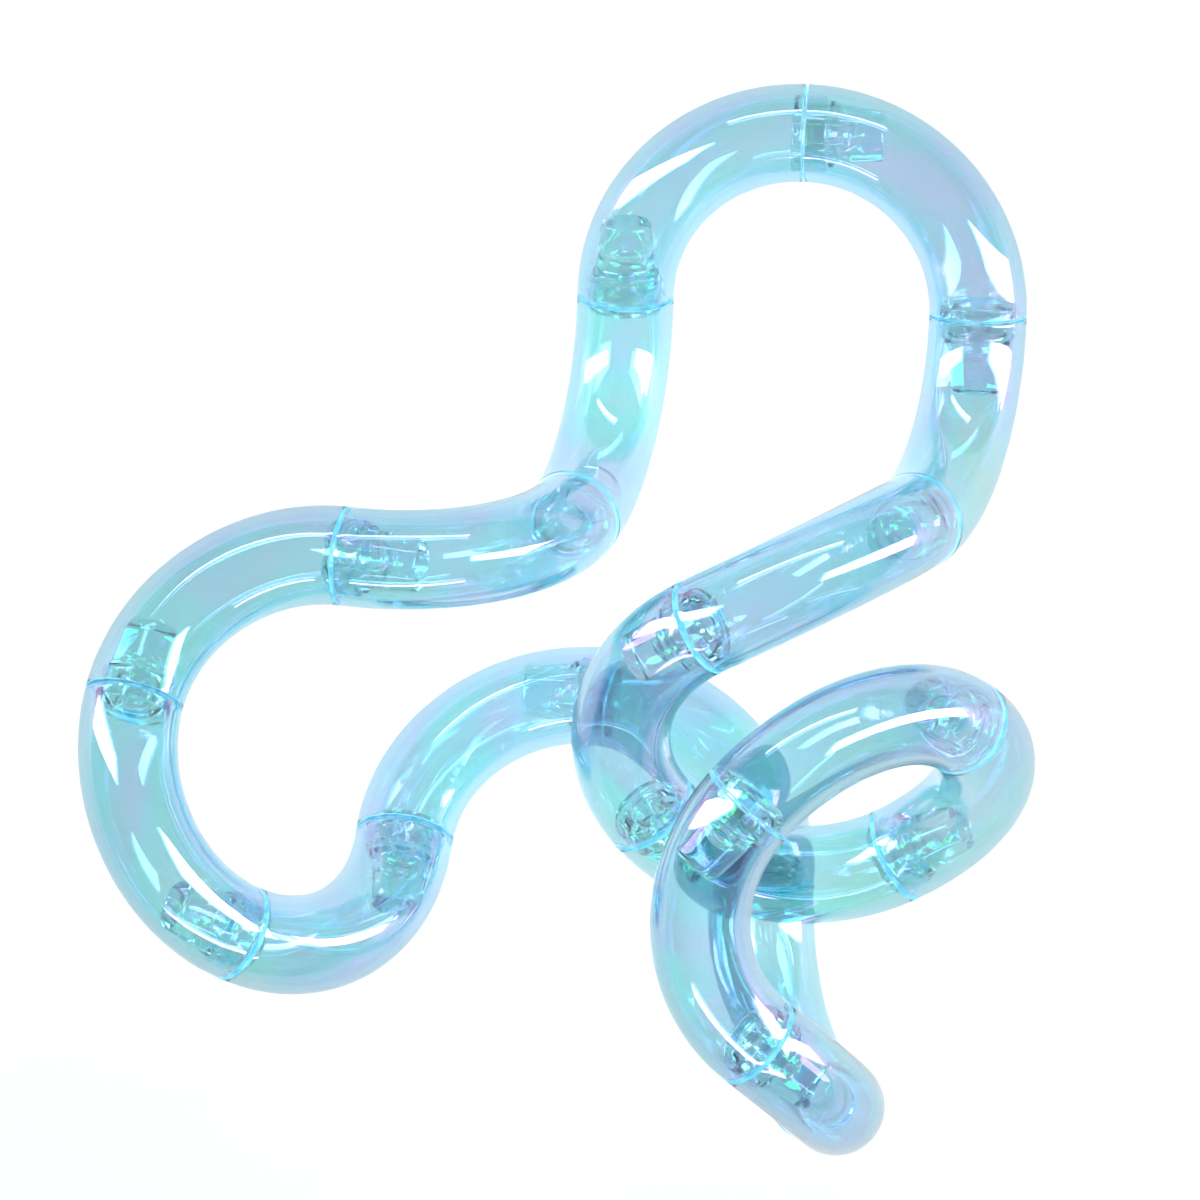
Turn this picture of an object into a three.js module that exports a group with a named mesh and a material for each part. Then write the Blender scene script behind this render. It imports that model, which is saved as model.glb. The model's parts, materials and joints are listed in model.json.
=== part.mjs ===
// A twisty snake puzzle: eighteen hollow quarter-bend tubes joined end to end in one closed ring.
// Each tube is closed at its far end by a plug, whose hollow pin snaps through a collar inside the
// mouth of the next tube, so neighbours swivel about the seam between them.
// Millimetres, +Z up. The puzzle lies twisted into a loose tangle on its three lowest tubes.

import * as THREE from "three";

// Driving dimensions
const bendRadius = 19; // from the bend's centre to the tube's centreline
const tubeRadius = 5.25;
const wall = 0.85;
const seamGap = 0.12; // how far each tube stops short of its seam
const openSeamGap = 0.6; // the same at the seam where the ring is left open
const fitGap = 0.36; // between a tube's bore and what is glued into it, with room for the bend

const plugLength = 2.8;
const pinLength = 8.4;
const neckRadius = 3.15;
const neckLength = 2.6;
const stepRadius = 3.55; // the snap step behind the neck
const stepLength = 0.6;
const taperRadius = 2.4; // the pin's radius at its tip
const tipChamfer = 0.5;
const coreRadius = 1.9; // the hole up the middle of the plug and pin
const coreDepth = 5.4; // how far it reaches past the seam
const collarLength = 2.1;
const collarRadius = 3.4; // of the collar's hole

const tubeSides = 16;
const boreSides = 12;
const bendSteps = 6;

// The twist in degrees from each tube's plane to the next one's, in order round the ring.
// Zero carries the coil on, and 180 turns it into an S. The last few tenths of a degree that
// bring the ring's two ends together are worked out below.
const twists = [
  -74, 119, 57, -2, 25, 25, 30, -101, 53, -117, 40, 138, -9, -49, 133, 90, 102,
];
const segmentCount = twists.length + 1;
const openSeam = 9; // the seam at the mouth of this tube, counted from 0, is the open one
const feet = [9, 11, 16]; // the tubes that the puzzle lies on

const quarterTurn = Math.PI / 2;
const boreRadius = tubeRadius - wall;
const rimRadius = boreRadius * Math.cos(Math.PI / boreSides) - fitGap; // of plugs and collars

// The mouths of all the tubes for a list of twists: where each seam is, the way the tube leaves
// it, and the way the tube bends. The last entry is where the ring's end comes back to.
function seamFrames(turns) {
  const frames = [
    {
      point: new THREE.Vector3(),
      along: new THREE.Vector3(1, 0, 0),
      inward: new THREE.Vector3(0, -1, 0),
    },
  ];
  for (let i = 0; i < segmentCount; i += 1) {
    const { point, along, inward } = frames[i];
    const across = along.clone().cross(inward);
    const angle = THREE.MathUtils.degToRad(turns[i] ?? 0);
    frames.push({
      point: point.clone().addScaledVector(along, bendRadius).addScaledVector(inward, bendRadius),
      along: inward.clone(),
      inward: along
        .clone()
        .multiplyScalar(-Math.cos(angle))
        .addScaledVector(across, Math.sin(angle)),
    });
  }
  return frames;
}

// How far the ring's end misses its start: three distances, and two slopes at the bend radius.
function closingMiss(turns) {
  const frames = seamFrames(turns);
  const first = frames[0];
  const last = frames[segmentCount];
  const miss = last.point.clone().sub(first.point);
  const across = first.along.clone().cross(first.inward);
  return [
    miss.x,
    miss.y,
    miss.z,
    bendRadius * last.along.dot(first.inward),
    bendRadius * last.along.dot(across),
  ];
}

// Solves a small square set of linear equations by elimination with row exchange.
function solve(matrix, values) {
  const size = values.length;
  const rows = matrix.map((row, i) => [...row, values[i]]);
  for (let i = 0; i < size; i += 1) {
    let best = i;
    for (let j = i + 1; j < size; j += 1) {
      if (Math.abs(rows[j][i]) > Math.abs(rows[best][i])) best = j;
    }
    [rows[i], rows[best]] = [rows[best], rows[i]];
    for (let j = 0; j < size; j += 1) {
      if (j === i) continue;
      const share = rows[j][i] / rows[i][i];
      rows[j] = rows[j].map((value, k) => value - share * rows[i][k]);
    }
  }
  return rows.map((row, i) => row[size] / row[i]);
}

// The smallest change to the twists that closes the ring.
function closedTwists(start) {
  const rounds = 6;
  const nudge = 1e-4;
  let turns = [...start];
  for (let round = 0; round < rounds; round += 1) {
    const miss = closingMiss(turns);
    const slopes = turns.map((turn, i) => {
      const nudged = turns.with(i, turn + nudge);
      return closingMiss(nudged).map((value, k) => (value - miss[k]) / nudge);
    });
    const products = miss.map((_, a) =>
      miss.map((__, b) => slopes.reduce((sum, slope) => sum + slope[a] * slope[b], 0)),
    );
    const weights = solve(products, miss);
    turns = turns.map((turn, i) => turn - slopes[i].reduce((sum, s, k) => sum + s * weights[k], 0));
  }
  return turns;
}

// A point on a tube's centreline, in the ring's frame.
function centrelinePoint({ point, along, inward }, angle) {
  return point
    .clone()
    .addScaledVector(along, bendRadius * Math.sin(angle))
    .addScaledVector(inward, bendRadius * (1 - Math.cos(angle)));
}

// Turns a frame's direction vectors and point by a quaternion.
function turnedFrame({ point, along, inward }, turn) {
  return {
    point: point.clone().applyQuaternion(turn),
    along: along.clone().applyQuaternion(turn),
    inward: inward.clone().applyQuaternion(turn),
  };
}

// The frames turned until the lowest points of the three feet are level.
function levelledFrames(frames) {
  const rounds = 8;
  const samples = 90;
  const up = new THREE.Vector3(0, 0, 1);
  let levelled = frames;
  for (let round = 0; round < rounds; round += 1) {
    const [a, b, c] = feet.map((foot) => {
      const points = Array.from({ length: samples + 1 }, (_, i) =>
        centrelinePoint(levelled[foot], (quarterTurn * i) / samples),
      );
      return points.reduce((low, point) => (point.z < low.z ? point : low));
    });
    const normal = b.clone().sub(a).cross(c.clone().sub(a)).normalize();
    if (normal.z < 0) normal.negate();
    const turn = new THREE.Quaternion().setFromUnitVectors(normal, up);
    levelled = levelled.map((frame) => turnedFrame(frame, turn));
  }
  return levelled;
}

// A quarter bend's centreline between two angles, in the tube's own frame: the tube leaves its
// mouth along +X and bends towards +Y.
class BendCurve extends THREE.Curve {
  constructor(from, to) {
    super();
    this.from = from;
    this.to = to;
  }

  getPoint(share, target = new THREE.Vector3()) {
    const angle = THREE.MathUtils.lerp(this.from, this.to, share);
    return target.set(bendRadius * Math.sin(angle), bendRadius * (1 - Math.cos(angle)), 0);
  }

  getTangent(share, target = new THREE.Vector3()) {
    const angle = THREE.MathUtils.lerp(this.from, this.to, share);
    return target.set(Math.cos(angle), Math.sin(angle), 0);
  }
}

// The corners of a regular polygon of a given radius.
function polygon(radius, sides) {
  return Array.from({ length: sides }, (_, i) => {
    const angle = (2 * Math.PI * i) / sides;
    return new THREE.Vector2(radius * Math.cos(angle), radius * Math.sin(angle));
  });
}

// The hollow quarter bend, between the gaps at its two seams.
function tubeGeometry(mouthGap, endGap) {
  const section = new THREE.Shape(polygon(tubeRadius, tubeSides));
  section.holes.push(new THREE.Path(polygon(boreRadius, boreSides)));
  const path = new BendCurve(mouthGap / bendRadius, quarterTurn - endGap / bendRadius);
  return new THREE.ExtrudeGeometry(section, { steps: bendSteps, extrudePath: path });
}

// The end wall with its hollow pin, turned about +Y, with the seam at y = 0.
function plugGeometry(endGap) {
  const stepTop = neckLength + stepLength;
  const coreShoulder = coreDepth - coreRadius;
  const halfRound = Math.SQRT1_2 * coreRadius;
  const profile = [
    [0, coreDepth],
    [halfRound, coreShoulder + halfRound],
    [coreRadius, coreShoulder],
    [coreRadius, -plugLength],
    [rimRadius, -plugLength],
    [rimRadius, -endGap],
    [neckRadius, -endGap],
    [neckRadius, neckLength],
    [stepRadius, neckLength],
    [stepRadius, neckLength + stepLength / 2],
    [neckRadius, stepTop],
    [taperRadius, pinLength - tipChamfer],
    [taperRadius - tipChamfer, pinLength],
    [0, pinLength],
  ];
  return latheOf(profile);
}

// The open seam's end wall: the same wall and core hole, with no pin beyond it.
function blankPlugGeometry(endGap) {
  const profile = [
    [0, -wall - endGap],
    [coreRadius, -wall - endGap],
    [coreRadius, -plugLength],
    [rimRadius, -plugLength],
    [rimRadius, -endGap],
    [0, -endGap],
  ];
  return latheOf(profile);
}

// The ring inside a tube's mouth, turned about +Y, with the seam at y = 0.
function collarGeometry(mouthGap) {
  const inner = mouthGap + collarLength;
  const profile = [
    [collarRadius, mouthGap],
    [rimRadius, mouthGap],
    [rimRadius, inner],
    [collarRadius, inner],
    [collarRadius, mouthGap],
  ];
  return latheOf(profile);
}

// A profile of [radius, height] pairs turned about +Y.
function latheOf(profile) {
  const points = profile.map(([radius, height]) => new THREE.Vector2(radius, height));
  return new THREE.LatheGeometry(points, boreSides);
}

// Clear blue plastic; plugs and collars read a little deeper than the thin tubes.
function clearPlastic(colour, opacity) {
  return new THREE.MeshStandardMaterial({
    color: colour,
    roughness: 0.06,
    metalness: 0,
    transparent: true,
    opacity,
  });
}

function namedMesh(name, geometry, material) {
  const mesh = new THREE.Mesh(geometry, material);
  mesh.name = name;
  return mesh;
}

// One segment of the ring: its tube, its plug and the collar in its mouth.
function segment(index, frame) {
  const number = String(index + 1).padStart(2, "0");
  const opensHere = index === openSeam;
  const endsOpen = (index + 1) % segmentCount === openSeam;
  const mouthGap = opensHere ? openSeamGap : seamGap;
  const endGap = endsOpen ? openSeamGap : seamGap;

  const group = new THREE.Group();
  group.name = `segment_${number}`;
  const across = frame.along.clone().cross(frame.inward);
  const basis = new THREE.Matrix4().makeBasis(frame.along, frame.inward, across);
  group.quaternion.setFromRotationMatrix(basis);
  group.position.copy(frame.point);

  const tube = tubeGeometry(mouthGap, endGap);
  group.add(namedMesh(`tube_${number}`, tube, clearPlastic(0xa6e3f0, 0.45)));

  const plugShape = endsOpen ? blankPlugGeometry(endGap) : plugGeometry(endGap);
  const plug = namedMesh(`plug_${number}`, plugShape, clearPlastic(0x7fd0e6, 0.6));
  plug.position.set(bendRadius, bendRadius, 0);
  group.add(plug);

  const collar = namedMesh(`collar_${number}`, collarGeometry(mouthGap), clearPlastic(0x8ad6ea, 0.6));
  collar.rotation.z = -quarterTurn;
  group.add(collar);
  return group;
}

// The whole ring, moved so that the middle of its bottom is at the origin.
function snakePuzzle() {
  const puzzle = new THREE.Group();
  puzzle.name = "snake_puzzle";
  const frames = levelledFrames(seamFrames(closedTwists(twists)));
  frames.slice(0, segmentCount).forEach((frame, index) => puzzle.add(segment(index, frame)));
  const box = new THREE.Box3().setFromObject(puzzle, true);
  const middle = box.getCenter(new THREE.Vector3());
  puzzle.children.forEach((child) => {
    child.position.x -= middle.x;
    child.position.y -= middle.y;
    child.position.z -= box.min.z;
  });
  return puzzle;
}

export default snakePuzzle();
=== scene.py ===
import json
import math
import bmesh
import bpy
from mathutils import Euler, Matrix, Vector

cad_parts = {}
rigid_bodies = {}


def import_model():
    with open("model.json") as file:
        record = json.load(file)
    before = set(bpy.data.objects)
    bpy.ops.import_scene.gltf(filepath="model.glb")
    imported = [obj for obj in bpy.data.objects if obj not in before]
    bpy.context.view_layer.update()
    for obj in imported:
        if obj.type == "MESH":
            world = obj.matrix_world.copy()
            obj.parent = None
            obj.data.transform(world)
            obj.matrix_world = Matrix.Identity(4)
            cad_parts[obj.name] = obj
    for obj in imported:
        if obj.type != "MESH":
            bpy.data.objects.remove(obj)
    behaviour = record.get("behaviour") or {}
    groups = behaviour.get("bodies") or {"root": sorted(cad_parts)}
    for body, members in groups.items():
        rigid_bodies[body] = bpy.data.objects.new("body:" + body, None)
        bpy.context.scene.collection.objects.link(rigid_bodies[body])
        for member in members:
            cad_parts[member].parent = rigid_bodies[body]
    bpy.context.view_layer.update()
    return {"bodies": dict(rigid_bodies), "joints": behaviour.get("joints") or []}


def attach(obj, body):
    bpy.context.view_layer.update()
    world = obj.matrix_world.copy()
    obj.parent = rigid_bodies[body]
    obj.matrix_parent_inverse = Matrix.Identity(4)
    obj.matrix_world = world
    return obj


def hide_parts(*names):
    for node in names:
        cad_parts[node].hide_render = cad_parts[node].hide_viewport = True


scene = bpy.context.scene

# A twisty snake puzzle of clear blue plastic tubes, seen from nearly straight above.
# Every segment is worked out in its own frame, where it leaves its mouth along +X and bends
# towards +Y, and its pieces are made straight in place. Lengths are in metres.

view = {
    "target": (0.0040, 0.0016, 0.025),
    "distance": 1.011,
    "turn": (-4.47, -0.26, 1.80),  # degrees from looking straight down
    "lens": 287.1,
    "sensor": 36.0,
    "near": 0.05,
    "far": 10,
}


def addCamera():
    data = bpy.data.cameras.new("camera")
    data.sensor_width = view["sensor"]
    data.lens = view["lens"]
    data.clip_start = view["near"]
    data.clip_end = view["far"]
    camera = bpy.data.objects.new("camera", data)
    turn = Euler([math.radians(a) for a in view["turn"]])
    back = turn.to_matrix() @ Vector((0, 0, 1))
    camera.location = Vector(view["target"]) + back * view["distance"]
    camera.rotation_euler = turn
    scene.collection.objects.link(camera)
    scene.camera = camera


addCamera()
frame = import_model()
print("frame loaded")


# Shader nodes

class Wire:
    # one socket, with arithmetic that adds Math nodes

    def __init__(self, graph, socket):
        self.graph = graph
        self.socket = socket

    def maths(self, operation, first, second):
        return self.graph.node("ShaderNodeMath", {"operation": operation}, first, second)

    def __add__(self, other):
        return self.maths("ADD", self, other)

    def __mul__(self, other):
        return self.maths("MULTIPLY", self, other)

    __radd__ = __add__
    __rmul__ = __mul__


class Graph:
    # the nodes of one material

    def __init__(self, name):
        self.material = bpy.data.materials.new(name)
        self.material.use_nodes = True
        self.tree = self.material.node_tree
        self.tree.nodes.clear()

    def node(self, kind, settings, *values, out=0, **named):
        # settings first, then the sockets in order, then the ones that are named
        made = self.tree.nodes.new(kind)
        for name, setting in settings.items():
            if name == "stops":
                self.setStops(made.color_ramp.elements, setting)
            else:
                setattr(made, name, setting)
        sockets = list(zip(made.inputs, values))
        sockets += [(made.inputs[name.replace("_", " ")], value) for name, value in named.items()]
        for socket, value in sockets:
            if isinstance(value, Wire):
                self.tree.links.new(value.socket, socket)
            else:
                socket.default_value = value
        return Wire(self, made.outputs[out]) if made.outputs else None

    def setStops(self, elements, stops):
        while len(elements) < len(stops):
            elements.new(1.0)
        for element, (place, colour) in zip(elements, stops):
            element.position = place
            element.color = (*colour, 1)


# Clear plastic. It has a thin shimmering film, faint ripples and smears, and its colour grows
# deeper with its thickness.

plastic = {
    "roughness": 0.012,
    "smear": 0.03,  # how much the smears add to the roughness
    "smearScale": 420.0,
    "filmThickness": 490.0,
    "filmIor": 1.78,
    "ripple": 0.05,
    "rippleHeight": 0.00005,
    "rippleScale": 160.0,
}
tubeFinish = {
    "ior": 1.47,
    "depthColour": (0.10, 0.61, 0.74, 1),
    "depth": 545.0,
    "drift": {"Scale": 38.0, "Detail": 1.5, "Distortion": 0.8},
    "skin": [  # pale colours that drift along the tubes
        (0.22, (0.80, 0.97, 1.00)),
        (0.38, (0.86, 0.93, 1.00)),
        (0.46, (0.98, 0.89, 0.99)),
        (0.53, (0.82, 0.97, 1.00)),
        (0.62, (0.82, 1.00, 0.95)),
        (0.72, (0.98, 0.99, 0.88)),
        (0.84, (0.80, 0.97, 1.00)),
    ],
}
plugFinish = {
    "ior": 1.27,
    "depthColour": (0.12, 0.78, 0.93, 1),
    "depth": 25.0,
    "drift": {"Scale": 90.0},
    "skin": [(0.3, (0.92, 0.99, 1.0)), (0.7, (0.98, 0.99, 1.0))],
}
collarFinish = {
    "ior": 1.12,
    "depthColour": (0.12, 0.78, 0.93, 1),
    "depth": 40.0,
    "drift": {"Scale": 90.0},
    "skin": [(0.3, (0.94, 0.99, 1.0)), (0.7, (0.99, 0.99, 1.0))],
}
# painted light and shade: the dark blue colour of the opaque tube ends stands in for the light
# that the clear wall guides out at the seams and for the shade of the seam
paintedEdgeLightAndShade = {
    "ior": 1.47,
    "roughness": 0.2,
    "grain": 0.15,  # how much the grain adds to the roughness
    "grainScale": 700.0,
    # these blues are painted light and shade at the cut ends, not a colour of the plastic
    "skin": [(0.3, (0.10, 0.42, 0.60)), (0.7, (0.20, 0.56, 0.72))],
}


def clearPlastic(name, finish):
    graph = Graph(name)
    place = graph.node("ShaderNodeTexCoord", {}, out="Object")
    ripple = graph.node(
        "ShaderNodeTexNoise", {}, Vector=place, Scale=plastic["rippleScale"], Detail=1.0,
    )
    smear = graph.node(
        "ShaderNodeTexNoise", {}, Vector=place, Scale=plastic["smearScale"], Detail=3.0,
    )
    normal = graph.node(
        "ShaderNodeBump", {}, Strength=plastic["ripple"], Distance=plastic["rippleHeight"],
        Height=ripple,
    )
    drift = graph.node("ShaderNodeTexNoise", {}, Vector=place, **finish["drift"])
    skin = graph.node("ShaderNodeValToRGB", {"stops": finish["skin"]}, drift)
    shader = graph.node(
        "ShaderNodeBsdfPrincipled", {}, Base_Color=skin, Metallic=0.0,
        Roughness=plastic["roughness"] + smear * plastic["smear"],
        IOR=finish["ior"], Normal=normal, Transmission_Weight=1.0,
        Thin_Film_Thickness=plastic["filmThickness"], Thin_Film_IOR=plastic["filmIor"],
    )
    inside = graph.node(
        "ShaderNodeVolumeAbsorption", {}, Color=finish["depthColour"], Density=finish["depth"],
    )
    graph.node("ShaderNodeOutputMaterial", {}, Surface=shader, Volume=inside)
    return graph.material


def cutEdge(name, finish):
    # the ends of a tube, where light gathered by its wall comes out. They are drawn opaque, and
    # their dark blue colour is painted light and shade that stands in for that light and for the
    # shade of the seam
    graph = Graph(name)
    place = graph.node("ShaderNodeTexCoord", {}, out="Object")
    grain = graph.node(
        "ShaderNodeTexNoise", {}, Vector=place, Scale=finish["grainScale"], Detail=2.0,
    )
    skin = graph.node("ShaderNodeValToRGB", {"stops": finish["skin"]}, grain)
    shader = graph.node(
        "ShaderNodeBsdfPrincipled", {}, Base_Color=skin, Metallic=0.0,
        Roughness=finish["roughness"] + grain * finish["grain"], IOR=finish["ior"],
    )
    graph.node("ShaderNodeOutputMaterial", {}, Surface=shader)
    return graph.material


tubePlastic = clearPlastic("clear_tube", tubeFinish)
plugPlastic = clearPlastic("clear_plug", plugFinish)
collarPlastic = clearPlastic("clear_collar", collarFinish)
paintedEdgeMaterial = cutEdge("painted_edge_light_and_shade", paintedEdgeLightAndShade)
print("materials made")


# Shapes. An outline is a list of (distance, radius) pairs. A place function turns a distance, a
# radius and an angle round the tube into a point.

bend = 0.019  # centreline radius of every segment
quarter = bend * math.pi / 2
roundSides = 64
cornerSteps = 5
axis = 1e-6  # a smaller radius lies on the axis


def onBend(distance, radius, angle):
    turn = distance / bend
    out = Vector((math.sin(turn), -math.cos(turn), 0))
    centre = Vector((0, bend, 0)) + out * bend
    return centre + radius * (math.cos(angle) * out + math.sin(angle) * Vector((0, 0, 1)))


def onEnd(distance, radius, angle):
    return Vector((bend + radius * math.cos(angle), bend + distance, radius * math.sin(angle)))


def onMouth(distance, radius, angle):
    return Vector((distance, radius * math.cos(angle), radius * math.sin(angle)))


def corner(centre, size, start, end):
    # a rounded corner, as points from one heading to another, in degrees
    points = []
    for i in range(cornerSteps + 1):
        heading = math.radians(start + (end - start) * i / cornerSteps)
        points.append((centre[0] + size * math.cos(heading), centre[1] + size * math.sin(heading)))
    return points


def spread(first, last, count):
    # points between two others, at even steps
    return [
        (first[0] + (last[0] - first[0]) * i / count, first[1] + (last[1] - first[1]) * i / count)
        for i in range(1, count)
    ]


tube = {
    "radius": 0.00525,
    "wall": 0.00085,
    "gap": 0.00012,  # from a seam to the end of a tube
    "openGap": 0.0006,  # the same at the seam that is open
    "lip": 0.0001,  # rounding of the ends
    "steps": 40,
}


def tubeOutline(mouthGap, endGap):
    low = mouthGap
    high = quarter - endGap
    outer = tube["radius"]
    inner = outer - tube["wall"]
    lip = tube["lip"]
    points = corner((low + lip, outer - lip), lip, 180, 90)
    points += spread((low + lip, outer), (high - lip, outer), tube["steps"])
    points += corner((high - lip, outer - lip), lip, 90, 0)
    points += corner((high - lip, inner + lip), lip, 0, -90)
    points += spread((high - lip, inner), (low + lip, inner), tube["steps"])
    points += corner((low + lip, inner + lip), lip, -90, -180)
    return points


plug = {
    "length": 0.0013,  # behind the seam
    "pin": 0.0084,  # past the seam
    "neck": 0.00315,
    "neckLength": 0.0026,
    "step": 0.00355,
    "stepLength": 0.0006,
    "tip": 0.0027,
    "core": 0.0019,
    "coreDepth": 0.0054,
    "rim": 0.00405,
    "round": 0.0004,
    "backSteps": 6,
    "neckSteps": 4,
    "taperSteps": 8,
}


def plugOutline(endGap, pinned):
    back = -plug["length"]
    soft = plug["round"] / 2
    core = plug["core"]
    if pinned:
        shoulder = plug["coreDepth"] - core
        points = [(plug["coreDepth"], 0)] + corner((shoulder, 0), core, 12, 90)
    else:
        wallBack = -endGap - tube["wall"]
        points = [(wallBack, 0), (wallBack, core * 0.98), (wallBack, core)]
    points += spread(points[-1], (back + soft, core), plug["backSteps"])
    points += corner((back + soft, core + soft), soft, -90, -180)
    points += corner((back + soft, plug["rim"] - soft), soft, 180, 90)
    points += corner((-endGap - soft, plug["rim"] - soft), soft, 90, 0)
    if not pinned:
        return points + [(-endGap, core), (-endGap, 0)]
    top = plug["neckLength"] + plug["stepLength"]
    points += corner((-endGap + soft, plug["neck"] + soft), soft, 180, 270)
    points += spread(points[-1], (plug["neckLength"], plug["neck"]), plug["neckSteps"])
    points += [(plug["neckLength"], plug["neck"])]
    points += corner((plug["neckLength"] + soft / 2, plug["step"] - soft / 2), soft / 2, 180, 90)
    points += [(top - soft, plug["step"]), (top, plug["neck"])]
    tipEnd = plug["pin"] - plug["round"]
    points += spread((top, plug["neck"]), (tipEnd, plug["tip"]), plug["taperSteps"])
    points += corner((tipEnd, plug["tip"] - plug["round"]), plug["round"], 80, 0)
    return points + [(plug["pin"], 0)]


collar = {
    "length": 0.0021,
    "hole": 0.0034,
    "rim": 0.00402,
    "round": 0.00012,
}


def collarOutline(mouthGap):
    low = mouthGap
    high = mouthGap + collar["length"]
    soft = collar["round"]
    points = corner((low + soft, collar["rim"] - soft), soft, 180, 90)
    points += corner((high - soft, collar["rim"] - soft), soft, 90, 0)
    points += corner((high - soft, collar["hole"] + soft), soft, 0, -90)
    points += corner((low + soft, collar["hole"] + soft), soft, -90, -180)
    return points


def turnedMesh(name, outline, place, closed, matrix, edges=()):
    # rings of points joined by faces; a point on the axis is a single vertex, and faces at the
    # distances in edges get the second material
    shape = bmesh.new()
    rings = []
    for distance, radius in outline:
        count = roundSides if radius > axis else 1
        angles = [2 * math.pi * i / roundSides for i in range(count)]
        rings.append([shape.verts.new(matrix @ place(distance, radius, a)) for a in angles])
    spans = list(zip(outline, outline[1:], rings, rings[1:]))
    if closed:
        spans.append((outline[-1], outline[0], rings[-1], rings[0]))
    for start, end, first, second in spans:
        onEdge = any(max(abs(p[0] - e) for p in (start, end)) < tube["lip"] * 1.1 for e in edges)
        for i in range(roundSides):
            j = (i + 1) % roundSides
            corners = [first[i % len(first)], first[j % len(first)]]
            corners += [second[j % len(second)], second[i % len(second)]]
            corners = list(dict.fromkeys(corners))
            if len(corners) > 2:
                face = shape.faces.new(corners)
                face.smooth = True
                face.material_index = int(onEdge)
    bmesh.ops.remove_doubles(shape, verts=shape.verts, dist=1e-7)
    bmesh.ops.recalc_face_normals(shape, faces=shape.faces)
    mesh = bpy.data.meshes.new(name)
    shape.to_mesh(mesh)
    shape.free()
    return mesh


# Where each segment is, worked out from the joints

segmentCount = len(frame["bodies"])


def segmentName(index):
    return f"segment_{index % segmentCount + 1:02d}"


def seamFrames():
    # (point, tangent) at every segment's mouth; the open seam has no joint, so it comes from
    # its neighbours: two quarter bends in a row span their three tangents
    seams = {}
    for joint in frame["joints"]:
        mouth = int(joint["name"].split("_")[-1]) - 1
        seams[mouth] = (Vector(joint["pos_m"]), Vector(joint["axis"]))
    openSeam = next(i for i in range(segmentCount) if i not in seams)
    pointBefore, tangentBefore = seams[(openSeam - 1) % segmentCount]
    pointAfter, tangentAfter = seams[(openSeam + 1) % segmentCount]
    tangent = ((pointAfter - pointBefore) / bend - tangentBefore - tangentAfter) / 2
    seams[openSeam] = (pointBefore + bend * (tangentBefore + tangent), tangent)
    return seams, openSeam


def segmentMatrix(seams, index):
    point, along = seams[index]
    inward = seams[(index + 1) % segmentCount][1]
    across = along.cross(inward)
    matrix = Matrix((along, inward, across)).transposed().to_4x4()
    matrix.translation = point
    return matrix


def placePiece(kind, index, materials, *shape):
    number = f"{index + 1:02d}"
    name = f"clear_{kind}_{number}"
    piece = bpy.data.objects.new(name, turnedMesh(name, *shape))
    for material in materials:
        piece.data.materials.append(material)
    piece.visible_shadow = False  # clear plastic lets the light through to what lies under it
    scene.collection.objects.link(piece)
    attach(piece, segmentName(index))
    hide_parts(f"{kind}_{number}")


def addSegments():
    seams, openSeam = seamFrames()
    for index in range(segmentCount):
        endsOpen = (index + 1) % segmentCount == openSeam
        mouthGap = tube["openGap"] if index == openSeam else tube["gap"]
        endGap = tube["openGap"] if endsOpen else tube["gap"]
        matrix = segmentMatrix(seams, index)
        # the end faces of each tube take the second material, whose colour is painted light and
        # shade
        placePiece(
            "tube", index, [tubePlastic, paintedEdgeMaterial], tubeOutline(mouthGap, endGap),
            onBend, True, matrix, (mouthGap, quarter - endGap),
        )
        placePiece(
            "plug", index, [plugPlastic], plugOutline(endGap, not endsOpen), onEnd, False, matrix,
        )
        placePiece(
            "collar", index, [collarPlastic], collarOutline(mouthGap), onMouth, True, matrix,
        )
    print(f"{segmentCount} segments placed")


addSegments()


# Studio

studio = {
    "floorSize": 4.0,
    "floorDrop": 0.0004,
    "floorColour": (0.585, 0.59, 0.60, 1),
    "floorRoughness": 0.6,
    "worldColour": (0.95, 0.98, 1.0, 1),
    "worldStrength": 0.46,
    "softboxes": [  # name, place, size, power
        ("left strip", (-0.60, 0.20, 0.36), (0.17, 0.80), 6.2),
        ("right strip", (0.62, 0.05, 0.32), (0.17, 0.80), 6.2),
        ("near strip", (0.05, -0.62, 0.42), (0.70, 0.06), 1.5),
        ("far strip", (-0.05, 0.62, 0.40), (0.70, 0.06), 1.3),
    ],
    "bounces": 16,
    "clearBounces": 16,
}


def addFloor():
    size = studio["floorSize"] / 2
    mesh = bpy.data.meshes.new("floor")
    corners = [(-size, -size, 0), (size, -size, 0), (size, size, 0), (-size, size, 0)]
    mesh.from_pydata(corners, [], [(0, 1, 2, 3)])
    floor = bpy.data.objects.new("floor", mesh)
    floor.location.z = -studio["floorDrop"]
    graph = Graph("floor")
    shader = graph.node(
        "ShaderNodeBsdfPrincipled", {}, Base_Color=studio["floorColour"], Metallic=0.0,
        Roughness=studio["floorRoughness"],
    )
    graph.node("ShaderNodeOutputMaterial", {}, Surface=shader)
    mesh.materials.append(graph.material)
    scene.collection.objects.link(floor)


def addLights():
    world = bpy.data.worlds.new("studio")
    world.use_nodes = True
    background = world.node_tree.nodes["Background"]
    background.inputs["Color"].default_value = studio["worldColour"]
    background.inputs["Strength"].default_value = studio["worldStrength"]
    scene.world = world
    for name, place, size, power in studio["softboxes"]:
        light = bpy.data.lights.new(name, "AREA")
        light.shape = "RECTANGLE"
        light.size, light.size_y = size
        light.energy = power
        box = bpy.data.objects.new(name, light)
        box.location = place
        aim = Vector(view["target"]) - Vector(place)
        box.rotation_euler = aim.to_track_quat("-Z", "Y").to_euler()
        scene.collection.objects.link(box)


addFloor()
addLights()
scene.view_settings.view_transform = "Standard"
scene.cycles.max_bounces = studio["bounces"]
scene.cycles.transmission_bounces = studio["bounces"]
scene.cycles.transparent_max_bounces = studio["clearBounces"]
print("studio lit")
